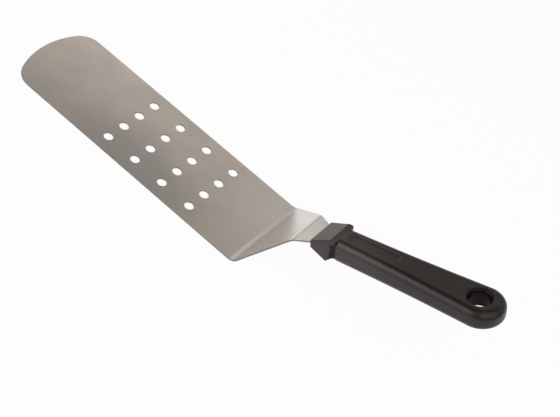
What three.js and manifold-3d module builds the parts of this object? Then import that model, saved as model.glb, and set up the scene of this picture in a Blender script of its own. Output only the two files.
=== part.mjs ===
// Perforated kitchen turner: one pressed stainless sheet, and one plastic handle moulded around its tang.
// Millimetres, +Z up. The blade lies flat on the XY plane, and the handle rises along +X.

import * as THREE from 'three';
import { mergeVertices } from 'three/addons/utils/BufferGeometryUtils.js';
import Module from 'manifold-3d';

const wasm = await Module();
wasm.setup();

// Blade: the flat part of the sheet, from the tip to the first bend line
const sheetThickness = 1.2;
const bladeLength = 212.2;
const bladeWidth = 73;
const tipCrown = 11;
const tipCornerRadius = 16;

// Perforation: rows of round holes, set in from the sides and counted forward from the first bend
const holeDiameter = 6.4;
const holesAlong = 4;
const holesAcross = 4;
const holePitchAlong = 25.3;
const holeSideMargin = 12.2;
const lastRowFromBend = 49.35;

// Neck: a steep ramp and a shallower tang, both as angles above the blade, with the bends between them
const rampAngle = 54.3;
const rampLength = 41;
const tangAngle = 21.4;
const bendRadius = 8;
const heelSetback = 2.8;
const heelRadius = 12;
const neckLength = 11.3;
const neckWidth = 22;

// Tang: the part of the sheet inside the handle, with as many plastic-filled lock holes as it has room for
const tangLength = 75;
const tangWidth = 13;
const tangShoulderRadius = 6;
const lockHoleDiameter = 5.5;
const lockHolePitch = 30;
const lockHoleFromEnd = 14;
const tangClearance = 0.3;

// Guard: a wedge that opens from its nose to a ridge, with a keel under it. Behind it a cove runs down to
// the grip, under a thin lip that carries the ridge back over each side.
const guardSideWall = 1.2;
const noseWallTop = 1.9;
const noseWallBottom = 2.7;
const noseRadius = 0.5;
const guardLength = 13.8;
const guardSideStep = 2.05;
const guardEdgeRadius = 0.8;
const keelSetback = 1.6;
const keelStep = 0.85;
const ridgeStep = 0.2;
const coveLength = 4.4;
const lipLength = 4.6;
const lipThickness = 2.4;
const lipBelowRidge = 0.3;
const lipSideInset = 0.2;
const lipRoot = 0.5;
const lipCornerRadius = 2;
const lipEdgeRadius = 0.8;

// Grip: it widens and thins towards the butt, which is round about the hang hole
const gripStartWidth = 20.5;
const gripStartTop = 8.1;
const gripStartBottom = 8.7;
const buttWidth = 31.2;
const buttTop = 6.9;
const buttBottom = 7.4;
const gripSideHollow = 0.65;
const gripTopEdgeRadius = 5.5;
const gripBottomEdgeRadius = 4;
const buttEdgeRadius = 5.1;
const hangHoleFromNose = 118.6;
const buttBeyondHole = 1.6;
const hangHoleDiameter = 14;
const hangHoleRimRadius = 2.5;

// Thumb recess: a shallow dish with round ends on the top of the grip
const recessFromCove = 4;
const recessLength = 38.5;
const recessWidth = 9.5;
const recessDepth = 1;
const recessEdgeRadius = 1.5;

// Facets
const arcSteps = 10;
const bendSteps = 8;
const cornerSteps = 5;
const gripSteps = 10;
const buttSteps = 10;
const rimSteps = 4;
const holeSteps = 32;

const cutMargin = 2;
const joinDistance = 0.001;

const { degToRad, lerp, clamp } = THREE.MathUtils;
const quarterTurn = Math.PI / 2;
const halfTurn = Math.PI;
const fullTurn = Math.PI * 2;

// Places from one value up to another, with the last one left out
const upTo = (from, to, count) => Array.from({ length: count }, (_, i) => lerp(from, to, i / count));

// Share of the way from one place to another, held at its ends
const share = (place, from, to) => clamp((place - from) / (to - from), 0, 1);

// Sheet path: the middle surface runs straight, bends up, runs straight, bends back and runs straight.
// A place on the flat blank is s along it from the tip, and y across it.

const bendTurns = [degToRad(rampAngle), degToRad(tangAngle - rampAngle)];
const bendReach = bendTurns.map((turn) => bendRadius * Math.tan(Math.abs(turn) / 2));
const bendArc = bendTurns.map((turn) => bendRadius * Math.abs(turn));
const firstBendStart = bladeLength - bendReach[0];
const firstBendEnd = firstBendStart + bendArc[0];
const secondBendStart = firstBendEnd + rampLength - bendReach[0] - bendReach[1];
const secondBendEnd = secondBendStart + bendArc[1];
const guardStart = secondBendEnd + neckLength - bendReach[1];
const bends = [
  { start: firstBendStart, end: firstBendEnd, turn: bendTurns[0] },
  { start: secondBendStart, end: secondBendEnd, turn: bendTurns[1] },
];

// Point on the sheet, at a height above its middle surface
function onSheet(s, y, height) {
  let x = 0;
  let z = sheetThickness / 2;
  let angle = 0;
  let done = 0;
  for (const bend of bends) {
    const straight = Math.min(s, bend.start) - done;
    x += straight * Math.cos(angle);
    z += straight * Math.sin(angle);
    done = Math.min(s, bend.end);
    const next = angle + bend.turn * share(s, bend.start, bend.end);
    const radius = bendRadius * Math.sign(bend.turn);
    x += radius * (Math.sin(next) - Math.sin(angle));
    z += radius * (Math.cos(angle) - Math.cos(next));
    angle = next;
  }
  x += (s - done) * Math.cos(angle);
  z += (s - done) * Math.sin(angle);
  return new THREE.Vector3(x - height * Math.sin(angle), y, z + height * Math.cos(angle));
}

// Blank outline: parallel sides, a rounded heel, and a straight taper that runs on into the guard

const heel = firstBendEnd + heelSetback - bendReach[0];
const taperSlope = (bladeWidth - neckWidth) / 2 / (guardStart - heel);
const taperAngle = Math.atan(taperSlope);
const heelReach = heelRadius * Math.tan(taperAngle / 2);
const heelArcStart = heel - heelReach;
const heelArcEnd = heel + heelReach * Math.cos(taperAngle);

function halfWidthAt(s) {
  if (s <= heelArcStart) return bladeWidth / 2;
  if (s >= heelArcEnd) return bladeWidth / 2 - taperSlope * (s - heel);
  return bladeWidth / 2 - heelRadius + Math.sqrt(heelRadius ** 2 - (s - heelArcStart) ** 2);
}

// Flat blade as far as its first bend, with the tip's arcs and the holes
function bladeShape(end) {
  const side = bladeWidth / 2;
  const tipRadius = (side ** 2 + tipCrown ** 2) / (2 * tipCrown);
  const cornerY = side - tipCornerRadius;
  const cornerS = tipRadius - Math.sqrt((tipRadius - tipCornerRadius) ** 2 - cornerY ** 2);
  const cornerAngle = Math.atan2(cornerY, tipRadius - cornerS);
  const holePitchAcross = (bladeWidth - holeSideMargin * 2) / (holesAcross - 1);
  const shape = new THREE.Shape();
  shape.moveTo(end, side);
  shape.lineTo(cornerS, side);
  shape.absarc(cornerS, cornerY, tipCornerRadius, quarterTurn, halfTurn - cornerAngle, false);
  shape.absarc(tipRadius, 0, tipRadius, halfTurn - cornerAngle, halfTurn + cornerAngle, false);
  shape.absarc(cornerS, -cornerY, tipCornerRadius, halfTurn + cornerAngle, halfTurn + quarterTurn, false);
  shape.lineTo(end, -side);
  for (let row = 0; row < holesAlong; row += 1) {
    for (let column = 0; column < holesAcross; column += 1) {
      const s = bladeLength - lastRowFromBend - row * holePitchAlong;
      const y = holeSideMargin - side + column * holePitchAcross;
      shape.holes.push(new THREE.Path().absarc(s, y, holeDiameter / 2, 0, fullTurn, true));
    }
  }
  return shape;
}

// Tang from a given start, measured from the guard's nose. A grown tang is the room that it needs.
function tangShape(start, grow) {
  const half = tangWidth / 2 + grow;
  const taperHalf = neckWidth / 2 + grow / Math.cos(taperAngle);
  const shoulder = (taperHalf - half) / taperSlope;
  const shoulderEnd = shoulder + tangShoulderRadius * Math.tan(taperAngle / 2);
  const shoulderY = half + tangShoulderRadius;
  const tangent = quarterTurn + taperAngle;
  const endCentre = tangLength - tangWidth / 2;
  const shape = new THREE.Shape();
  shape.moveTo(start, taperHalf - taperSlope * start);
  shape.lineTo(start, taperSlope * start - taperHalf);
  shape.absarc(shoulderEnd, -shoulderY, tangShoulderRadius, tangent, quarterTurn, true);
  shape.absarc(endCentre, 0, half, -quarterTurn, quarterTurn, false);
  shape.absarc(shoulderEnd, shoulderY, tangShoulderRadius, -quarterTurn, -tangent, true);
  const lockHoleRadius = lockHoleDiameter / 2 - grow;
  const lockHoleRoom = tangLength - shoulder - lockHoleFromEnd * 2;
  for (let from = 0; from <= lockHoleRoom; from += lockHolePitch) {
    const u = tangLength - lockHoleFromEnd - from;
    shape.holes.push(new THREE.Path().absarc(u, 0, lockHoleRadius, 0, fullTurn, true));
  }
  return shape;
}

// Closed mesh from points and triangles, with coincident points joined and collapsed triangles dropped
function closedMesh(geometry) {
  const bare = geometry.index ? geometry.toNonIndexed() : geometry.clone();
  bare.deleteAttribute('normal');
  bare.deleteAttribute('uv');
  const merged = mergeVertices(bare);
  const corners = Array.from(merged.index.array);
  const kept = [];
  for (let i = 0; i < corners.length; i += 3) {
    const [a, b, c] = corners.slice(i, i + 3);
    if (a !== b && b !== c && c !== a) kept.push(a, b, c);
  }
  merged.setIndex(kept);
  return merged;
}

function solid(geometry) {
  const merged = closedMesh(geometry);
  return new wasm.Manifold(new wasm.Mesh({
    numProp: 3,
    vertProperties: Float32Array.from(merged.attributes.position.array),
    triVerts: Uint32Array.from(merged.index.array),
  }));
}

// Bodies joined to one solid, less the cutters
function moulded(bodies, cutters) {
  const whole = bodies.map(solid).reduce((left, right) => left.add(right));
  const body = cutters.reduce((left, cutter) => left.subtract(solid(cutter)), whole);
  const { vertProperties, triVerts } = body.getMesh();
  const result = new THREE.BufferGeometry();
  result.setAttribute('position', new THREE.BufferAttribute(Float32Array.from(vertProperties), 3));
  result.setIndex(Array.from(triVerts));
  return result;
}

function finished(geometry, name, material) {
  const flat = geometry.toNonIndexed();
  flat.computeVertexNormals();
  const mesh = new THREE.Mesh(flat, material);
  mesh.name = name;
  return mesh;
}

// Blade: the blank is triangulated flat, in zones that meet on the bend steps, and then bent.
// An edge that only one triangle uses is a cut edge of the sheet, and gets a wall.

function bladeGeometry() {
  const blank = [];
  const triangles = [];

  function vertex(s, y) {
    const found = blank.findIndex((point) => Math.hypot(point[0] - s, point[1] - y) < joinDistance);
    if (found >= 0) return found;
    return blank.push([s, y]) - 1;
  }

  function addZone(shape, shift) {
    const { shape: outline, holes } = shape.extractPoints(arcSteps);
    if (THREE.ShapeUtils.isClockWise(outline)) outline.reverse();
    for (const hole of holes) {
      if (!THREE.ShapeUtils.isClockWise(hole)) hole.reverse();
    }
    const faces = THREE.ShapeUtils.triangulateShape(outline, holes);
    const indices = [outline, ...holes].flat().map((point) => vertex(point.x + shift, point.y));
    for (const [a, b, c] of faces.map((face) => face.map((i) => indices[i]))) {
      if (a !== b && b !== c && c !== a) triangles.push([a, b, c]);
    }
  }

  const curves = [
    [firstBendStart, firstBendEnd],
    [heelArcStart, heelArcEnd],
    [secondBendStart, secondBendEnd],
  ];
  const lines = curves.flatMap(([start, end]) => [...upTo(start, end, bendSteps), end]);
  lines.sort((a, b) => a - b);
  const bandEdges = lines.filter((line, i) => i === 0 || line - lines[i - 1] > joinDistance);

  addZone(bladeShape(bandEdges[0]), 0);
  for (let i = 1; i < bandEdges.length; i += 1) {
    const [from, to] = [bandEdges[i - 1], bandEdges[i]];
    const near = [vertex(from, -halfWidthAt(from)), vertex(to, -halfWidthAt(to))];
    const far = [vertex(from, halfWidthAt(from)), vertex(to, halfWidthAt(to))];
    triangles.push([near[0], near[1], far[1]]);
    triangles.push([near[0], far[1], far[0]]);
  }
  addZone(tangShape(bandEdges.at(-1) - guardStart, 0), guardStart);

  const edges = new Set(triangles.flatMap(([a, b, c]) => [`${a}>${b}`, `${b}>${c}`, `${c}>${a}`]));
  const lower = blank.length;
  const index = [];
  for (const [a, b, c] of triangles) {
    index.push(a, b, c);
    index.push(c + lower, b + lower, a + lower);
    for (const [from, to] of [[a, b], [b, c], [c, a]]) {
      if (edges.has(`${to}>${from}`)) continue;
      index.push(from, from + lower, to + lower);
      index.push(from, to + lower, to);
    }
  }
  const faces = [sheetThickness / 2, -sheetThickness / 2];
  const points = faces.flatMap((height) => blank.map(([s, y]) => onSheet(s, y, height)));
  return new THREE.BufferGeometry().setFromPoints(points).setIndex(index);
}

// Handle: a loft of rounded sections along u, from the guard's nose to the butt. Its own frame has
// u along +X, y across, and v along +Z, with the nose on the tang's middle surface.

const gripStart = guardLength + coveLength;
const guardSide = gripStartWidth / 2 + guardSideStep;
const ridgeTop = gripStartTop + ridgeStep;
const keelBottom = gripStartBottom + keelStep;
const buttRadius = buttWidth / 2;
const buttCentre = hangHoleFromNose + buttBeyondHole;

const gripShare = (u) => (u - gripStart) / (buttCentre - gripStart);
const gripTop = (u) => lerp(gripStartTop, buttTop, gripShare(u));
const gripBottom = (u) => lerp(gripStartBottom, buttBottom, gripShare(u));

function gripHalfWidth(u) {
  const along = clamp(gripShare(u), 0, 1);
  return lerp(gripStartWidth / 2, buttRadius, along) - gripSideHollow * Math.sin(halfTurn * along);
}

// Section through the wedge, drawn in all round by an inset. It leans more towards the keel, which is
// ahead of the ridge.
function wedgeSection(u, inset) {
  const opened = u / guardLength;
  return {
    u,
    lean: keelSetback * opened,
    beyond: 0,
    side: lerp(neckWidth / 2 + guardSideWall, guardSide, opened) - inset,
    top: lerp(sheetThickness / 2 + noseWallTop, ridgeTop, opened) - inset,
    bottom: lerp(sheetThickness / 2 + noseWallBottom, keelBottom, opened) - inset,
    topRadius: guardEdgeRadius,
    bottomRadius: guardEdgeRadius,
  };
}

// Section through the cove, which runs down to the grip in a hollow curve
function coveSection(u) {
  const ahead = 1 - share(u, guardLength, gripStart);
  const hollow = 1 - ahead ** 3;
  return {
    u,
    lean: keelSetback * ahead,
    beyond: 0,
    side: lerp(guardSide, gripStartWidth / 2, hollow),
    top: lerp(ridgeTop, gripStartTop, hollow),
    bottom: lerp(keelBottom, gripStartBottom, hollow),
    topRadius: lerp(guardEdgeRadius, gripTopEdgeRadius, hollow),
    bottomRadius: lerp(guardEdgeRadius, gripBottomEdgeRadius, hollow),
  };
}

function gripSection(u) {
  const rounded = share(u, buttCentre - buttRadius, buttCentre);
  return {
    u,
    lean: 0,
    beyond: 0,
    side: gripHalfWidth(u),
    top: gripTop(u),
    bottom: gripBottom(u),
    topRadius: lerp(gripTopEdgeRadius, buttEdgeRadius, rounded),
    bottomRadius: lerp(gripBottomEdgeRadius, buttEdgeRadius, rounded),
  };
}

// Section beyond the middle of the round butt
function buttSection(beyond) {
  return { ...gripSection(buttCentre + beyond), beyond, side: buttRadius };
}

// Ring of points round a section, which leans so that its bottom is ahead of its top. Beyond the hang
// hole the edge rounding follows the round butt, so a corner stops where it reaches the middle line.
function sectionRing({ u, lean, beyond, side, top, bottom, topRadius, bottomRadius }) {
  const leaned = (v) => u - lean * (top - v) / (top + bottom);
  function corner(height, radius) {
    const flat = side - radius;
    const last = beyond > flat ? Math.acos(clamp((beyond - flat) / radius, -1, 1)) : quarterTurn;
    return Array.from({ length: cornerSteps + 1 }, (_, i) => {
      const angle = last * i / cornerSteps;
      const reach = flat + radius * Math.cos(angle);
      const y = Math.sqrt(Math.max(0, reach ** 2 - beyond ** 2));
      return [y, height - radius + radius * Math.sin(angle)];
    });
  }
  const upper = corner(top, topRadius);
  const lower = corner(bottom, bottomRadius);
  return [
    ...upper.map(([y, v]) => new THREE.Vector3(leaned(v), y, v)),
    ...upper.toReversed().map(([y, v]) => new THREE.Vector3(leaned(v), -y, v)),
    ...lower.map(([y, v]) => new THREE.Vector3(leaned(-v), -y, -v)),
    ...lower.toReversed().map(([y, v]) => new THREE.Vector3(leaned(-v), y, -v)),
  ];
}

function loft(rings) {
  const count = rings[0].length;
  const index = [];
  for (let i = 1; i < rings.length; i += 1) {
    for (let j = 0; j < count; j += 1) {
      const here = (i - 1) * count;
      const next = i * count;
      const k = (j + 1) % count;
      index.push(here + j, here + k, next + k);
      index.push(here + j, next + k, next + j);
    }
  }
  for (let j = 2; j < count; j += 1) {
    const last = (rings.length - 1) * count;
    index.push(0, j, j - 1);
    index.push(last, last + j - 1, last + j);
  }
  return new THREE.BufferGeometry().setFromPoints(rings.flat()).setIndex(index);
}

function handleBody() {
  function noseRim(angle) {
    const inset = noseRadius * (1 - Math.sin(angle));
    return wedgeSection(noseRadius * (1 - Math.cos(angle)), inset);
  }
  const sections = [
    ...upTo(0, quarterTurn, rimSteps).map(noseRim),
    wedgeSection(noseRadius, 0),
    ...upTo(guardLength, gripStart, arcSteps).map(coveSection),
    ...upTo(gripStart, buttCentre, gripSteps).map(gripSection),
    ...upTo(0, quarterTurn, buttSteps).map((angle) => buttSection(buttRadius * Math.sin(angle))),
    buttSection(buttRadius),
  ];
  return loft(sections.map(sectionRing));
}

// Lip: a thin plate from inside the wedge back over the cove, with round edges and round back corners
function lipBody() {
  const top = ridgeTop - lipBelowRidge;
  const side = guardSide - lipSideInset;
  const corner = guardLength + lipLength - lipCornerRadius;
  function lipSection(u, cornerInset) {
    return {
      u,
      lean: 0,
      beyond: 0,
      side: side - cornerInset,
      top,
      bottom: lipThickness - top,
      topRadius: lipEdgeRadius,
      bottomRadius: lipEdgeRadius,
    };
  }
  function cornerSection(angle) {
    return lipSection(corner + lipCornerRadius * Math.sin(angle), lipCornerRadius * (1 - Math.cos(angle)));
  }
  const sections = [
    lipSection(guardLength - lipRoot, 0),
    ...upTo(0, quarterTurn, cornerSteps).map(cornerSection),
    cornerSection(quarterTurn),
  ];
  return loft(sections.map(sectionRing));
}

// Hang hole: a straight bore with a rounded rim on both faces
function hangHoleCutter() {
  const bore = hangHoleDiameter / 2;
  const mouth = bore + hangHoleRimRadius;
  const top = gripTop(hangHoleFromNose);
  const bottom = -gripBottom(hangHoleFromNose);
  const rim = new THREE.Path();
  rim.moveTo(0, bottom - cutMargin);
  rim.lineTo(mouth, bottom - cutMargin);
  rim.absarc(mouth, bottom + hangHoleRimRadius, hangHoleRimRadius, -quarterTurn, -halfTurn, true);
  rim.absarc(mouth, top - hangHoleRimRadius, hangHoleRimRadius, halfTurn, quarterTurn, true);
  rim.lineTo(mouth, top + cutMargin);
  rim.lineTo(0, top + cutMargin);
  const cutter = new THREE.LatheGeometry(rim.getPoints(rimSteps), holeSteps);
  cutter.rotateX(quarterTurn);
  cutter.translate(hangHoleFromNose, 0, 0);
  return cutter;
}

// Thumb recess: a long dish, with its floor parallel to the top of the grip
function recessCutter() {
  const half = recessLength / 2 - recessWidth / 2;
  const middle = gripStart + recessFromCove + recessLength / 2;
  const fall = (gripStartTop - buttTop) / (buttCentre - gripStart);
  const outline = new THREE.Shape();
  outline.absarc(half, 0, recessWidth / 2, -quarterTurn, quarterTurn, false);
  outline.absarc(-half, 0, recessWidth / 2, quarterTurn, halfTurn + quarterTurn, false);
  const cutter = new THREE.ExtrudeGeometry(outline, {
    depth: recessDepth + cutMargin,
    curveSegments: arcSteps,
    bevelThickness: recessEdgeRadius,
    bevelSize: recessEdgeRadius,
    bevelOffset: -recessEdgeRadius,
    bevelSegments: rimSteps,
  });
  cutter.translate(0, 0, recessEdgeRadius - recessDepth);
  cutter.rotateY(Math.atan(fall));
  cutter.translate(middle, 0, gripTop(middle));
  return cutter;
}

// Tang socket: the tang with its clearance, from in front of the nose, less the plugs in the lock holes
function socketCutter() {
  const height = sheetThickness + tangClearance * 2;
  const cutter = new THREE.ExtrudeGeometry(tangShape(-cutMargin, tangClearance), {
    depth: height,
    curveSegments: arcSteps,
    bevelEnabled: false,
  });
  cutter.translate(0, 0, -height / 2);
  return cutter;
}

// Assembly: the handle is turned to the tang, and the whole stands centred over its own footprint

const steel = new THREE.MeshStandardMaterial({ color: 0xa59b8f, roughness: 0.38, metalness: 1 });
const blackPlastic = new THREE.MeshStandardMaterial({ color: 0x35302e, roughness: 0.5, metalness: 0 });

const blade = finished(bladeGeometry(), 'blade', steel);
const handleCuts = [hangHoleCutter(), recessCutter(), socketCutter()];
const handle = finished(moulded([handleBody(), lipBody()], handleCuts), 'handle', blackPlastic);
handle.position.copy(onSheet(guardStart, 0, 0));
handle.rotation.y = -degToRad(tangAngle);

const turner = new THREE.Group();
turner.add(blade, handle);
const box = new THREE.Box3().setFromObject(turner, true);
turner.position.x = -(box.min.x + box.max.x) / 2;

export default turner;
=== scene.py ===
from math import acos, atan, atan2, cos, pi, radians, sin, sqrt, tan

import bmesh
import bpy
from mathutils import Matrix, Vector


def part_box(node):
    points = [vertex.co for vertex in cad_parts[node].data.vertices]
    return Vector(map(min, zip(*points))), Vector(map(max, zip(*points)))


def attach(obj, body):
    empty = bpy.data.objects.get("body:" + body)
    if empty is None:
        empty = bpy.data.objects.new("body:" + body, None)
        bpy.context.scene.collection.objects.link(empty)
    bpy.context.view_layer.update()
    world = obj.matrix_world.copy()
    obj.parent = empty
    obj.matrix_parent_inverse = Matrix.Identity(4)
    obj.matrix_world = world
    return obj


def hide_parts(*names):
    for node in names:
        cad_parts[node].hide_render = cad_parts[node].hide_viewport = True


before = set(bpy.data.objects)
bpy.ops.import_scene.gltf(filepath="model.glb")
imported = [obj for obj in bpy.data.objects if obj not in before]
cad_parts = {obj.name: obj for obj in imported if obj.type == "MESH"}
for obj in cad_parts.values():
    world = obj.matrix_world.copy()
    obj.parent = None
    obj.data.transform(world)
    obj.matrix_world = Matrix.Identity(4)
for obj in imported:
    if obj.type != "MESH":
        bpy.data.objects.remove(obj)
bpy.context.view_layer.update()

# Blade: one stainless sheet. It is cut and punched flat, its cut edges are tumbled smooth, and it is
# then pressed up at the heel and back again at the neck. The tang at its end is hidden in the handle.

mm = 0.001
sheet_thickness = 1.2 * mm
blade_length = 212.2 * mm
blade_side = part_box("blade")[1].y
blade_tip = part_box("blade")[0].x
tip_crown = 11 * mm
tip_corner_radius = 16 * mm

hole_radius = 3.45 * mm
hole_rows = 4
hole_columns = 4
hole_pitch = 25.3 * mm
hole_side_margin = 12.2 * mm
last_row_from_bend = 49.35 * mm
punch_depth = 4 * sheet_thickness

ramp_angle = radians(54.3)
ramp_length = 41 * mm
tang_angle = radians(21.4)
bend_radius = 8 * mm
heel_setback = 2.8 * mm
heel_radius = 12 * mm
neck_length = 11.3 * mm
neck_half = 11 * mm
tang_length = 75 * mm
tang_half = 6.5 * mm
tang_shoulder_radius = 6 * mm
lock_holes = 2
lock_hole_radius = 2.75 * mm
lock_hole_pitch = 30 * mm
lock_hole_from_end = 14 * mm
cut_edge_radius = 0.2 * mm
cut_edge_angle = radians(60)

heel_turn = ramp_angle
neck_turn = tang_angle - ramp_angle
heel_bend_reach = bend_radius * tan(heel_turn / 2)
neck_bend_reach = bend_radius * tan(-neck_turn / 2)
heel_bend_start = blade_tip + blade_length - heel_bend_reach
heel_bend_end = heel_bend_start + bend_radius * heel_turn
neck_bend_start = heel_bend_end + ramp_length - heel_bend_reach - neck_bend_reach
neck_bend_end = neck_bend_start - bend_radius * neck_turn
guard_nose = neck_bend_end + neck_length - neck_bend_reach
tang_end = guard_nose + tang_length

heel_corner = heel_bend_end + heel_setback - heel_bend_reach
taper_slope = (blade_side - neck_half) / (guard_nose - heel_corner)
taper = atan(taper_slope)

arc_steps = 24
bend_steps = 12
edge_steps = 3
hole_facets = 48
same_place = 0.001 * mm
smooth_angle = radians(35)


def in_hand(*pieces):
    """Leaves edit mode, with the given pieces selected and the last of them active."""
    if bpy.context.mode != "OBJECT":
        bpy.ops.object.mode_set(mode="OBJECT")
    bpy.ops.object.select_all(action="DESELECT")
    for piece in pieces:
        piece.select_set(True)
        bpy.context.view_layer.objects.active = piece


def new_piece(name):
    """An empty mesh, open for editing."""
    in_hand()
    bpy.ops.mesh.primitive_plane_add()
    bpy.context.object.name = name
    bpy.ops.object.mode_set(mode="EDIT")
    bpy.ops.mesh.delete(type="VERT")
    return bpy.context.object


def select(chosen):
    """Selects the points of the mesh in hand whose place passes a test."""
    mesh = bmesh.from_edit_mesh(bpy.context.object.data)
    for point in mesh.verts:
        point.select = chosen(point.co)
    mesh.select_flush_mode()
    bmesh.update_edit_mesh(bpy.context.object.data)


def select_all():
    bpy.ops.mesh.select_all(action="SELECT")


def start_line(*place):
    """One point, from which a line is drawn."""
    bpy.ops.mesh.primitive_plane_add(location=place)
    bpy.ops.mesh.merge(type="CENTER")


def line_to(*place):
    mesh = bmesh.from_edit_mesh(bpy.context.object.data)
    pen = next(point.co for point in mesh.verts if point.select)
    step = Vector(place) - pen
    bpy.ops.mesh.extrude_vertices_move(TRANSFORM_OT_translate={"value": step})


def arc(centre, angle, axis=(0, 0, 1), steps=arc_steps):
    """An arc onwards from the last point, clockwise seen from the axis's head."""
    bpy.ops.mesh.spin(steps=steps, angle=angle, center=centre, axis=axis)


def rotate(angle, centre):
    """Turns what is selected, seen from the side. A positive angle lifts the butt end."""
    bpy.ops.transform.rotate(value=angle, orient_axis="Y", center_override=centre)


def merge_points():
    select_all()
    bpy.ops.mesh.remove_doubles(threshold=same_place)


def face_outwards():
    select_all()
    bpy.ops.mesh.normals_make_consistent()


def apply_modifier(kind, **settings):
    bpy.ops.object.modifier_add(type=kind)
    modifier = bpy.context.object.modifiers[-1]
    for name, value in settings.items():
        setattr(modifier, name, value)
    bpy.ops.object.modifier_apply(modifier=modifier.name)


def combine(body, tool, operation):
    """Cuts a tool out of a body, or joins it on, and clears the tool away."""
    in_hand(body)
    apply_modifier("BOOLEAN", object=tool, operation=operation, solver="EXACT")
    bpy.data.objects.remove(tool)


def smooth_faces():
    bpy.ops.object.shade_smooth_by_angle(angle=smooth_angle)
    apply_modifier("WEIGHTED_NORMAL", keep_sharp=True)


tip_radius = (blade_side**2 + tip_crown**2) / (2 * tip_crown)
tip_centre = blade_tip + tip_radius
corner_y = blade_side - tip_corner_radius
corner_x = tip_centre - sqrt((tip_radius - tip_corner_radius) ** 2 - corner_y**2)
corner_angle = atan2(corner_y, tip_centre - corner_x)
heel_arc_start = heel_corner - heel_radius * tan(taper / 2)
shoulder_corner = guard_nose + (neck_half - tang_half) / taper_slope
shoulder_reach = tang_shoulder_radius * tan(taper / 2)
shoulder_start = shoulder_corner - shoulder_reach * cos(taper)
shoulder_start_y = tang_half + shoulder_reach * sin(taper)
shoulder_end = shoulder_corner + shoulder_reach
tang_end_centre = tang_end - tang_half

# One side of the outline is drawn flat from the tip to the end of the tang, and pulled over to the other
blade = new_piece("blade_sheet")
start_line(blade_tip, 0, 0)
arc((tip_centre, 0, 0), corner_angle)
arc((corner_x, corner_y, 0), pi / 2 - corner_angle)
line_to(heel_arc_start, blade_side, 0)
arc((heel_arc_start, blade_side - heel_radius, 0), taper)
line_to(shoulder_start, shoulder_start_y, 0)
arc((shoulder_end, tang_half + tang_shoulder_radius, 0), -taper)
line_to(tang_end_centre, tang_half, 0)
arc((tang_end_centre, 0, 0), pi / 2)
select_all()
bpy.ops.mesh.extrude_edges_move()
bpy.ops.transform.resize(value=(1, -1, 1), center_override=(0, 0, 0))
merge_points()
face_outwards()
for start, end in ((heel_bend_start, heel_bend_end), (neck_bend_start, neck_bend_end)):
    for step in range(bend_steps + 1):
        line = start + (end - start) * step / bend_steps
        select_all()
        bpy.ops.mesh.bisect(plane_co=(line, 0, 0), plane_no=(1, 0, 0))
in_hand(blade)
apply_modifier("SOLIDIFY", thickness=sheet_thickness, offset=0)

holes = [
    (blade_tip + blade_length - last_row_from_bend - row * hole_pitch,
     (blade_side - hole_side_margin) * (2 * column / (hole_columns - 1) - 1), hole_radius)
    for row in range(hole_rows) for column in range(hole_columns)
]
holes += [
    (tang_end - lock_hole_from_end - hole * lock_hole_pitch, 0, lock_hole_radius)
    for hole in range(lock_holes)
]
punch = new_piece("punch")
for x, y, radius in holes:
    bpy.ops.mesh.primitive_cylinder_add(
        vertices=hole_facets, radius=radius, depth=punch_depth, location=(x, y, 0))
combine(blade, punch, "DIFFERENCE")
apply_modifier("BEVEL", width=cut_edge_radius, segments=edge_steps, angle_limit=cut_edge_angle,
               use_clamp_overlap=False)

# The first finish is for the two faces of the sheet, the second for its cut edges and hole walls
level_face = 0.95
for slot in range(2):
    bpy.ops.object.material_slot_add()
bpy.ops.object.mode_set(mode="EDIT")
mesh = bmesh.from_edit_mesh(blade.data)
for face in mesh.faces:
    face.select_set(abs(face.normal.z) < level_face)
bpy.ops.object.material_slot_assign()

# The neck is bent first and the heel after it, in small folds from the far end of each bend
select_all()
bpy.ops.transform.translate(value=(0, 0, sheet_thickness / 2))
for start, end, turn in ((neck_bend_start, neck_bend_end, neck_turn),
                         (heel_bend_start, heel_bend_end, heel_turn)):
    for step in reversed(range(bend_steps)):
        fold = start + (end - start) * (step + 0.5) / bend_steps
        select(lambda place: place.x > fold)
        rotate(turn / bend_steps, (fold, 0, sheet_thickness / 2))
in_hand(blade)
smooth_faces()


class Shade:
    """A socket of a node tree. Sums and products of sockets add their Math nodes."""

    def __init__(self, tree, socket=None):
        self.tree = tree
        self.socket = socket

    def node(self, kind, settings, inputs, output=0):
        made = self.tree.nodes.new("ShaderNode" + kind)
        for name, value in settings.items():
            setattr(made, name, value)
        for name, value in inputs.items():
            if isinstance(value, Shade):
                self.tree.links.new(value.socket, made.inputs[name])
            else:
                made.inputs[name].default_value = value
        return Shade(self.tree, made.outputs[output] if made.outputs else None)

    def maths(self, operation, left, right):
        return self.node("Math", {"operation": operation}, {0: left, 1: right})

    def __add__(self, other):
        return self.maths("ADD", self, other)

    def __sub__(self, other):
        return self.maths("SUBTRACT", self, other)

    def __mul__(self, other):
        return self.maths("MULTIPLY", self, other)

    def __rsub__(self, other):
        return self.maths("SUBTRACT", other, self)

    __radd__ = __add__
    __rmul__ = __mul__

    def place(self):
        return self.node("TexCoord", {}, {}, "Object")

    def dot(self, direction):
        """How far the socket's vector reaches in a direction."""
        return self.node("VectorMath", {"operation": "DOT_PRODUCT"}, {0: self, 1: direction}, "Value")

    def noise(self, per_metre, detail=2):
        """Cloudy noise on the piece's own place, with its own count of clouds along each axis."""
        stretched = self.node("Mapping", {}, {"Vector": self.place(), "Scale": per_metre})
        return self.node("TexNoise", {}, {"Vector": stretched, "Scale": 1, "Detail": detail})

    def range(self, low, high, start=0, end=1):
        """The socket's values from low to high, stretched to the given range and held at its ends."""
        ends = {"Value": self, "From Min": low, "From Max": high, "To Min": start, "To Max": end}
        return self.node("MapRange", {"interpolation_type": "SMOOTHSTEP"}, ends)

    def mix(self, share, first, second):
        return self.node("Mix", {"data_type": "RGBA"}, {0: share, 6: first, 7: second}, 2)


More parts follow.
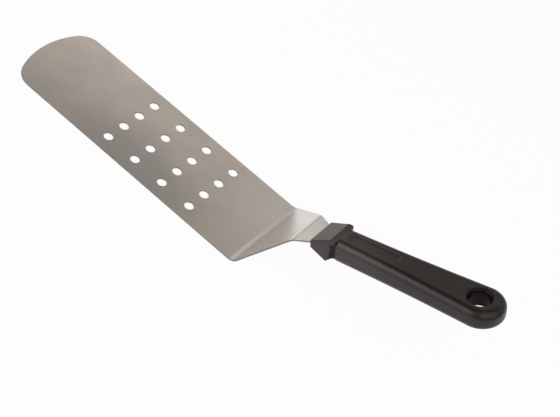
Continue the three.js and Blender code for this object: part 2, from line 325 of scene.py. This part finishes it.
def new_finish(name):
    material = bpy.data.materials.new(name)
    material.use_nodes = True
    material.node_tree.nodes.clear()
    return material, Shade(material.node_tree)


# Satin steel: fine lines, stains and smudges, painted shade over the near side, painted light on the heel
# and ramp
steel_warm = (0.672, 0.608, 0.556, 1)
steel_cool = (0.602, 0.574, 0.545, 1)
# A darker steel colour, painted as shade over the near side of the blade
steel_painted_shade = (0.51, 0.49, 0.47, 1)
# A lighter steel colour, painted as light on the heel, the ramp and the tang
steel_painted_light = (0.685, 0.652, 0.62, 1)
near_shade_centre = (-74 * mm, -26 * mm, 0)
near_shade_reach = (75 * mm, 34 * mm, 1)
heel_light_start = heel_bend_start - 42 * mm
heel_light_end = heel_bend_start - 4 * mm
ramp_start = heel_bend_start + bend_radius
steel, shade = new_finish("satin_steel")
grind_lines = shade.noise((14, 1500, 14), detail=4)
broad_lines = shade.noise((6, 330, 6), detail=3)
stains = shade.noise((30, 42, 30), detail=3)
smudges = shade.noise((70, 60, 70), detail=4)
place = shade.place()
near_shade_place = shade.node("Mapping", {"vector_type": "TEXTURE"}, {
    "Vector": place, "Location": near_shade_centre, "Scale": near_shade_reach})
from_near_shade = shade.node("VectorMath", {"operation": "LENGTH"}, {0: near_shade_place}, "Value")
# Painted shade: the blade's colour is darker over its near side, broken up by the smudges
near_painted_shade = from_near_shade.range(0.25, 1.1, 1, 0) * (0.6 + 0.8 * smudges)
towards_heel = shade.node("SeparateXYZ", {}, {"Vector": place}, "X")
# Painted light: the steel's colour turns lighter towards the heel and stays lighter over the ramp and the
# tang
heel_painted_light = towards_heel.range(heel_light_start, heel_light_end)
on_ramp = towards_heel.range(ramp_start, ramp_start + bend_radius)
stained_tone = shade.mix(stains.range(0.38, 0.64), steel_warm, steel_cool)
near_shaded_tone = shade.mix(near_painted_shade, stained_tone, steel_painted_shade)
gloss = 0.25 + 0.08 * grind_lines + 0.05 * broad_lines + 0.06 * smudges - 0.07 * on_ramp
relief = shade.node("Bump", {}, {"Strength": 0.25, "Distance": 0.01 * mm, "Height": grind_lines})
steel_shader = shade.node("BsdfPrincipled", {}, {
    "Base Color": shade.mix(heel_painted_light, near_shaded_tone, steel_painted_light),
    "Metallic": 1.0, "Roughness": gloss, "Normal": relief,
})
shade.node("OutputMaterial", {}, {"Surface": steel_shader})
blade.material_slots[0].material = steel

# The cut edges and hole walls are darker than the faces: partly dull cut metal, partly painted contact
# shade
edge_dull_and_shaded = (0.28, 0.268, 0.256, 1)
edge_bright = (0.38, 0.365, 0.345, 1)
cut_edge, shade = new_finish("tumbled_edge")
nicks = shade.noise((450, 450, 450), detail=3)
edge_shader = shade.node("BsdfPrincipled", {}, {
    "Base Color": shade.mix(nicks.range(0.35, 0.7), edge_dull_and_shaded, edge_bright),
    "Metallic": 1.0, "Roughness": 0.62 + 0.1 * nicks,
})
shade.node("OutputMaterial", {}, {"Surface": edge_shader})
blade.material_slots[1].material = cut_edge

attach(blade, "root")
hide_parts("blade")

# Handle: one moulding of brown-black plastic around the tang. It is a wedge-shaped guard with a keel, a
# lip and a cove behind them, and a grip that widens to a round butt, with a dished thumb recess and a
# hang hole. The plastic goes through the two lock holes of the tang, which hold it.

guard_side_wall = 1.2 * mm
nose_wall_top = 1.9 * mm
nose_wall_bottom = 2.7 * mm
nose_radius = 0.5 * mm
guard_length = 14.6 * mm
keel_setback = 2.4 * mm
keel_depth = 9.55 * mm
ridge_top = 8.3 * mm
guard_side = 12.3 * mm
guard_edge_radius = 0.8 * mm
ridge_end_radius = 2 * mm
cove_length = 3.6 * mm
cove_side_share = 0.75
neck_side = 9.3 * mm
neck_top = 8 * mm
neck_bottom = 8.8 * mm
neck_top_edge_radius = 4.5 * mm
neck_bottom_edge_radius = 3.9 * mm
neck_inside = 6 * mm
neck_end_inset = 0.3 * mm
lip_length = 3.9 * mm
lip_thickness = 2.4 * mm
lip_below_ridge = 0.3 * mm
lip_side = 12.1 * mm
lip_root = 0.5 * mm
lip_corner_radius = 2 * mm
lip_edge_radius = 0.8 * mm

grip_start_half = 10.25 * mm
grip_start_top = 8.1 * mm
grip_start_bottom = 8.95 * mm
butt_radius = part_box("handle")[1].y
butt_top = 6.9 * mm
butt_bottom = 7.2 * mm
grip_side_hollow = 0.65 * mm
grip_top_edge_radius = 5.4 * mm
grip_bottom_edge_radius = 4.6 * mm
grip_front_radius = 0.5 * mm
hang_hole_from_nose = 118.6 * mm
butt_beyond_hole = 1.6 * mm
hang_hole_radius = 7.25 * mm
hang_hole_rim = 2.5 * mm
hang_hole_facets = 72

recess_from_cove = 4 * mm
recess_length = 38.5 * mm
recess_half = 4.75 * mm
recess_depth = 1 * mm
recess_floor_radius = 2.6 * mm
recess_rim_radius = 0.8 * mm

grip_start = guard_length + cove_length
front_limit = grip_start + 0.1 * mm
butt_centre = hang_hole_from_nose + butt_beyond_hole
grip_length = butt_centre - grip_start
top_fall = atan((grip_start_top - butt_top) / grip_length)
bottom_rise = atan((grip_start_bottom - butt_bottom) / grip_length)
plan_limit = 0.01 * mm - butt_bottom
cut_margin = 3 * mm


def between(start, end, share):
    return start + (end - start) * share


# The handle is made lying along X with its nose at the origin, and u is a place along it
def grip_half(u):
    along = (u - grip_start) / grip_length
    return between(grip_start_half, butt_radius, along) - grip_side_hollow * sin(pi * along)


def round_rim(radius):
    """Rounds the rim of the selected face, apart from its front edge."""
    bpy.ops.mesh.region_to_loop()
    mesh = bmesh.from_edit_mesh(bpy.context.object.data)
    for edge in mesh.edges:
        if all(point.co.x < front_limit for point in edge.verts):
            edge.select_set(False)
    bmesh.update_edit_mesh(bpy.context.object.data)
    bpy.ops.mesh.bevel(offset=radius, segments=arc_steps // 2)


# The grip's plan is drawn at the level of the butt's underside, raised, tilted and rounded
side_places = [grip_start + grip_length * i / arc_steps for i in range(arc_steps + 1)]
handle = new_piece("handle_moulding")
start_line(grip_start, grip_start_half, -butt_bottom)
for u in side_places[1:]:
    line_to(u, grip_half(u), -butt_bottom)
arc((butt_centre, 0, -butt_bottom), pi)
for u in reversed(side_places[:-1]):
    line_to(u, -grip_half(u), -butt_bottom)
select_all()
bpy.ops.mesh.edge_face_add()
bpy.ops.mesh.extrude_region_move(TRANSFORM_OT_translate={"value": (0, 0, butt_top + butt_bottom)})
rotate(-top_fall, (butt_centre, 0, butt_top))
round_rim(grip_top_edge_radius)
select(lambda place: place.z < plan_limit)
rotate(bottom_rise, (butt_centre, 0, -butt_bottom))
round_rim(grip_bottom_edge_radius)
select(lambda place: place.x < front_limit)
bpy.ops.mesh.region_to_loop()
bpy.ops.mesh.bevel(offset=grip_front_radius, segments=edge_steps)
face_outwards()

# The guard is a row of rounded sections from its nose to its cove, bridged to a skin. The cove runs down
# until it is just inside the grip, under a lip that is made the same way.
nose_side = neck_half + guard_side_wall
nose_top = sheet_thickness / 2 + nose_wall_top
nose_bottom = sheet_thickness / 2 + nose_wall_bottom
before_ridge = (0.6 * mm, 0.25 * mm)
corner_steps = 8
rim_steps = 6
cove_steps = 2 * rim_steps


def rounded_section(u, side, top, bottom, top_radius, bottom_radius, lean=0):
    """A closed line across the handle, from bottom to top. Its lower end leans forward."""
    quarter = {"angle": pi / 2, "axis": (1, 0, 0), "steps": corner_steps}
    middle = (top + bottom) / 2
    start_line(u, side, middle)
    line_to(u, side, bottom + bottom_radius)
    arc((u, side - bottom_radius, bottom + bottom_radius), **quarter)
    line_to(u, bottom_radius - side, bottom)
    arc((u, bottom_radius - side, bottom + bottom_radius), **quarter)
    line_to(u, -side, top - top_radius)
    arc((u, top_radius - side, top - top_radius), **quarter)
    line_to(u, side - top_radius, top)
    arc((u, side - top_radius, top - top_radius), **quarter)
    line_to(u, side, middle)
    select(lambda place: place.x > u - same_place)
    rotate(-atan(lean / (top - bottom)), (u, 0, top))


def wedge_section(u, inset=0):
    opened = u / guard_length
    rounded_section(
        u,
        between(nose_side, guard_side, opened) - inset,
        between(nose_top, ridge_top, opened) - inset,
        inset - between(nose_bottom, keel_depth, opened),
        between(guard_edge_radius, ridge_end_radius, opened),
        guard_edge_radius,
        keel_setback * opened)


def hollow(share):
    """How far a hollow curve has fallen: it falls steeply at first and ends level."""
    return 1 - (1 - share) ** 3


def cove_section(along):
    fallen = hollow(along)
    rounded_section(
        guard_length + cove_length * along,
        between(guard_side, neck_side, hollow(min(along / cove_side_share, 1))),
        between(ridge_top, neck_top, along),
        between(-keel_depth, -neck_bottom, fallen),
        between(ridge_end_radius, neck_top_edge_radius, fallen),
        between(guard_edge_radius, neck_bottom_edge_radius, fallen),
        keel_setback * (1 - along))


def bridge_sections():
    merge_points()
    select_all()
    bpy.ops.mesh.bridge_edge_loops()
    select_all()
    bpy.ops.mesh.fill_holes(sides=0)
    face_outwards()


guard = new_piece("guard")
for step in range(rim_steps):
    turned = pi / 2 * step / rim_steps
    wedge_section(nose_radius * (1 - cos(turned)), nose_radius * (1 - sin(turned)))
wedge_section(nose_radius)
wedge_section(guard_length / 2)
for margin in before_ridge:
    wedge_section(guard_length - margin)
for step in range(cove_steps):
    cove_section((step + 1) / cove_steps)
rounded_section(
    grip_start + neck_inside,
    neck_side,
    neck_top - neck_end_inset,
    neck_end_inset - neck_bottom,
    neck_top_edge_radius,
    neck_bottom_edge_radius)
bridge_sections()

lip_corner = guard_length + lip_length - lip_corner_radius
lip_top = ridge_top - lip_below_ridge


def lip_section(u, inset=0):
    rounded_section(u, lip_side - inset, lip_top, lip_top - lip_thickness, lip_edge_radius, lip_edge_radius)


lip = new_piece("lip")
lip_section(guard_length - lip_root)
for step in range(rim_steps + 1):
    turned = pi / 2 * step / rim_steps
    lip_section(lip_corner + lip_corner_radius * sin(turned), lip_corner_radius * (1 - cos(turned)))
bridge_sections()
combine(guard, lip, "UNION")
combine(handle, guard, "UNION")

# The hang hole's core is a spool: a straight bore that flares out at both faces
hang_top = butt_top + butt_beyond_hole * tan(top_fall)
hang_bottom = butt_bottom + butt_beyond_hole * tan(bottom_rise)
hang_mouth = hang_hole_from_nose + hang_hole_radius + hang_hole_rim
spool = new_piece("spool")
start_line(hang_mouth, 0, -hang_bottom - cut_margin)
line_to(hang_mouth, 0, -hang_bottom)
arc((hang_mouth, 0, hang_hole_rim - hang_bottom), pi / 2, axis=(0, -1, 0))
line_to(hang_mouth - hang_hole_rim, 0, hang_top - hang_hole_rim)
arc((hang_mouth, 0, hang_top - hang_hole_rim), pi / 2, axis=(0, -1, 0))
line_to(hang_mouth, 0, hang_top + cut_margin)
select_all()
arc((hang_hole_from_nose, 0, 0), 2 * pi, steps=hang_hole_facets)
merge_points()
bpy.ops.mesh.fill_holes(sides=0)
select(lambda place: place.z > 0)
rotate(-top_fall, (hang_hole_from_nose, 0, hang_top))
select(lambda place: place.z < 0)
rotate(bottom_rise, (hang_hole_from_nose, 0, -hang_bottom))
face_outwards()
combine(handle, spool, "DIFFERENCE")

# The recess is a stadium dish: its wall rises from the floor in a hollow curve and rolls over at the rim
recess_middle = grip_start + recess_from_cove + recess_length / 2
recess_reach = recess_length / 2 - recess_half
recess_top = grip_start_top - (recess_middle - grip_start) * tan(top_fall)
wall_slope = acos(1 - recess_depth / (recess_floor_radius + recess_rim_radius))


def dish_loop(outset, depth):
    half = recess_half + outset
    level = recess_top - depth
    start_line(recess_middle - recess_reach, half, level)
    line_to(recess_middle + recess_reach, half, level)
    arc((recess_middle + recess_reach, 0, level), pi)
    line_to(recess_middle - recess_reach, -half, level)
    arc((recess_middle - recess_reach, 0, level), pi)


dish = new_piece("dish")
for step in range(rim_steps + 1):
    slope = wall_slope * step / rim_steps
    dish_loop(recess_floor_radius * (sin(slope) - sin(wall_slope)),
              recess_depth - recess_floor_radius * (1 - cos(slope)))
for step in reversed(range(rim_steps)):
    slope = wall_slope * step / rim_steps
    dish_loop(recess_rim_radius * (sin(wall_slope) - sin(slope)), recess_rim_radius * (1 - cos(slope)))
dish_loop(recess_rim_radius * sin(wall_slope), -cut_margin)
bridge_sections()
rotate(-top_fall, (recess_middle, 0, recess_top))
combine(handle, dish, "DIFFERENCE")

# The finished moulding is turned to the tang and set at the end of the neck, and the tang is cut out
nose_place = Vector((
    blade_tip + blade_length + ramp_length * cos(ramp_angle) + neck_length * cos(tang_angle),
    0,
    sheet_thickness / 2 + ramp_length * sin(ramp_angle) + neck_length * sin(tang_angle)))
bpy.ops.object.mode_set(mode="EDIT")
select_all()
rotate(tang_angle, (0, 0, 0))
bpy.ops.transform.translate(value=nose_place)
in_hand(handle)
apply_modifier("BOOLEAN", object=blade, operation="DIFFERENCE", solver="EXACT")
smooth_faces()

# Brown-black plastic: fine grain, cloudy wear, a painted highlight at the front, and painted shade in the
# hang hole and the cove
plastic_dark = (0.005, 0.0036, 0.0034, 1)
plastic_worn = (0.014, 0.0105, 0.010, 1)
# A paler colour, painted as a highlight on the front of the grip
plastic_painted_highlight = (0.032, 0.0245, 0.0238, 1)
plastic_gleam = (1, 0.88, 0.875, 1)
# A dark matt colour, painted as shade in the hang hole's bore and in the cove
painted_shade_colour = (0.005, 0.0035, 0.0034, 1)
along_handle = Vector((cos(tang_angle), 0, sin(tang_angle)))
above_handle = Vector((-sin(tang_angle), 0, cos(tang_angle)))
nose = nose_place.dot(along_handle)
ridge = nose + guard_length
ridge_level = nose_place.dot(above_handle) + ridge_top
under_lip = ridge_level - lip_below_ridge - lip_thickness
keel_lean = keel_setback / (ridge_top + keel_depth)
grip_finish = (ridge - 0.3 * mm, ridge + 0.6 * mm)
front_highlight_full = ridge + 10 * mm
front_highlight_end = ridge + 60 * mm
matt_full = ridge + 90 * mm
bore_shade_full = hang_hole_radius + 0.7 * mm
bore_shade_end = hang_hole_radius + 2 * mm
cove_front = (0.4 * mm, 1.2 * mm)
cove_back = (ridge + 2.8 * mm, ridge + 4.4 * mm)
cove_top = (under_lip - 1 * mm, under_lip)

plastic, shade = new_finish("handle_plastic")
grain = shade.noise((2400, 2400, 2400), detail=2)
flow = shade.noise((28, 60, 60), detail=3)
rubs = shade.noise((160, 160, 160), detail=4)
wear = flow.range(0.4, 0.7) * rubs.range(0.45, 0.75)
place = shade.place()
along = place.dot(along_handle)
across = shade.node("SeparateXYZ", {}, {"Vector": place}, "Y")
level = place.dot(above_handle)
on_grip = along.range(*grip_finish)
rearward = along.range(ridge, matt_full)
# Painted highlight: the grip's colour is paler at its front and fades rearwards, broken up by the rub noise
front_painted_highlight = along.range(front_highlight_full, front_highlight_end, 1, 0) * (0.7 + 0.5 * rubs)
gloss = 0.07 + 0.12 * on_grip + 0.10 * rearward + 0.06 * grain + 0.10 * flow
relief = shade.node("Bump", {}, {"Strength": 0.2, "Distance": 0.02 * mm, "Height": grain})
plastic_shader = shade.node("BsdfPrincipled", {}, {
    "Base Color": shade.mix(front_painted_highlight, shade.mix(wear, plastic_dark, plastic_worn), plastic_painted_highlight),
    "Roughness": gloss, "IOR": 1.52, "Specular Tint": plastic_gleam, "Normal": relief,
})
# Painted shade: the hang hole's bore and the inner part of its flared rim are darkened
from_hole = along - (nose + hang_hole_from_nose)
from_axis_squared = from_hole * from_hole + across * across
bore_painted_shade = from_axis_squared.range(bore_shade_full**2, bore_shade_end**2, 1, 0)
# Painted shade: the cove behind the rim, under the lip, is darkened the same way
behind_rim = along - ridge + keel_lean * (ridge_level - level)
inside_cove = behind_rim.range(*cove_front) * along.range(*cove_back, 1, 0)
cove_painted_shade = inside_cove * level.range(*cove_top, 1, 0)
painted_shade_shader = shade.node("BsdfDiffuse", {}, {"Color": painted_shade_colour, "Roughness": 1.0})
# The plastic is mixed towards the dark matt painted shade in the bore and the cove
handle_shader = shade.node("MixShader", {}, {
    0: 0.7 * bore_painted_shade + 0.6 * cove_painted_shade, 1: plastic_shader, 2: painted_shade_shader})
shade.node("OutputMaterial", {}, {"Surface": handle_shader})
handle.data.materials.append(plastic)

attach(handle, "root")
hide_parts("handle")

# Camera: a long lens above the near side of the handle. It looks down across the turner and is rolled, so
# that the turner lies from corner to corner of the picture.

camera_aim = Vector((23.22, 10.11, 20)) * mm
camera_distance = 913.7 * mm
camera_azimuth = radians(18.28)
camera_elevation = radians(46.63)
camera_roll = radians(26.73)

camera_data = bpy.data.cameras.new("camera")
camera_data.lens = 86.9
camera_data.sensor_width = 36
camera = bpy.data.objects.new("camera", camera_data)
bpy.context.scene.collection.objects.link(camera)
bpy.context.scene.camera = camera
turned = Matrix.Rotation(camera_azimuth, 4, "Z") @ Matrix.Rotation(pi / 2 - camera_elevation, 4, "X")
rolled = Matrix.Rotation(camera_roll, 4, "Z")
drawn_back = Matrix.Translation((0, 0, camera_distance))
camera.matrix_world = Matrix.Translation(camera_aim) @ turned @ rolled @ drawn_back

# Floor: a white sheet under the turner. Seen directly, in a reflection or through something clear, most of
# it glows evenly, and a small share keeps the soft shadow.

floor_size = 6
floor_drop = 0.2 * mm
floor_white = (0.92, 0.92, 0.92, 1)
white = (1, 1, 1, 1)
even_share = 0.95

floor = new_piece("floor")
bpy.ops.mesh.primitive_plane_add(size=floor_size, location=(0, 0, -floor_drop))
in_hand(floor)
floor_finish, shade = new_finish("white_floor")
direct = shade.node("LightPath", {}, {}, "Is Camera Ray")
mirrored = shade.node("LightPath", {}, {}, "Is Glossy Ray")
clear = shade.node("LightPath", {}, {}, "Is Transmission Ray")
sheet = shade.node("BsdfDiffuse", {}, {"Color": floor_white})
glow = shade.node("Emission", {}, {"Color": white, "Strength": 1.0})
floor_shader = shade.node("MixShader", {}, {0: even_share * (direct + mirrored + clear), 1: sheet, 2: glow})
shade.node("OutputMaterial", {}, {"Surface": floor_shader})
floor.data.materials.append(floor_finish)

# Light: a plain warm room, brighter towards its window wall. Two narrow boards stand on the far side, the
# taller one beyond the tip, and two soft boxes light the turner from the near side and from above.

window_direction = (-0.6, 0.8, 0)
wall_dim = (0.16, 0.14, 0.125, 1)
wall_bright = (0.72, 0.70, 0.68, 1)
ceiling = (0.215, 0.187, 0.16, 1)

world = bpy.data.worlds.new("studio")
bpy.context.scene.world = world
world.use_nodes = True
world.node_tree.nodes.clear()
shade = Shade(world.node_tree)
towards = shade.node("TexCoord", {}, {}, "Generated")
height = shade.node("SeparateXYZ", {}, {"Vector": towards}, "Z")
seen = shade.node("LightPath", {}, {}, "Is Camera Ray")
wall = shade.mix(towards.dot(window_direction).range(-0.3, 0.6), wall_dim, wall_bright)
room = shade.mix(height.range(-0.02, 0.35), wall, ceiling)
sky = shade.node("Background", {}, {"Color": shade.mix(seen, room, white), "Strength": 1.0})
shade.node("OutputWorld", {}, {"Surface": sky})


def soft_box(name, place, aim, width, height, power):
    lamp = bpy.data.lights.new(name, "AREA")
    lamp.shape = "RECTANGLE"
    lamp.size = width
    lamp.size_y = height
    lamp.energy = power
    box = bpy.data.objects.new(name, lamp)
    box.visible_camera = False
    bpy.context.scene.collection.objects.link(box)
    towards = Vector(place) - Vector(aim)
    box.matrix_world = Matrix.Translation(place) @ towards.to_track_quat("Z", "Y").to_matrix().to_4x4()


soft_box("far_board", place=(0.315, 0.38, 0.39), aim=(0.315, 0, 0.39),
         width=1.17, height=0.08, power=0.45)
soft_box("tip_board", place=(-0.685, 0.38, 0.315), aim=(-0.685, 0, 0.315),
         width=0.83, height=0.23, power=0.53)
soft_box("near_box", place=(-0.68, -0.77, 0.46), aim=(0, 0, 0),
         width=1.0, height=0.9, power=5.6)
soft_box("top_box", place=(0.65, -0.39, 1.05), aim=(0, 0, 0),
         width=1.6, height=1.6, power=8)

bpy.context.scene.view_settings.view_transform = "Standard"
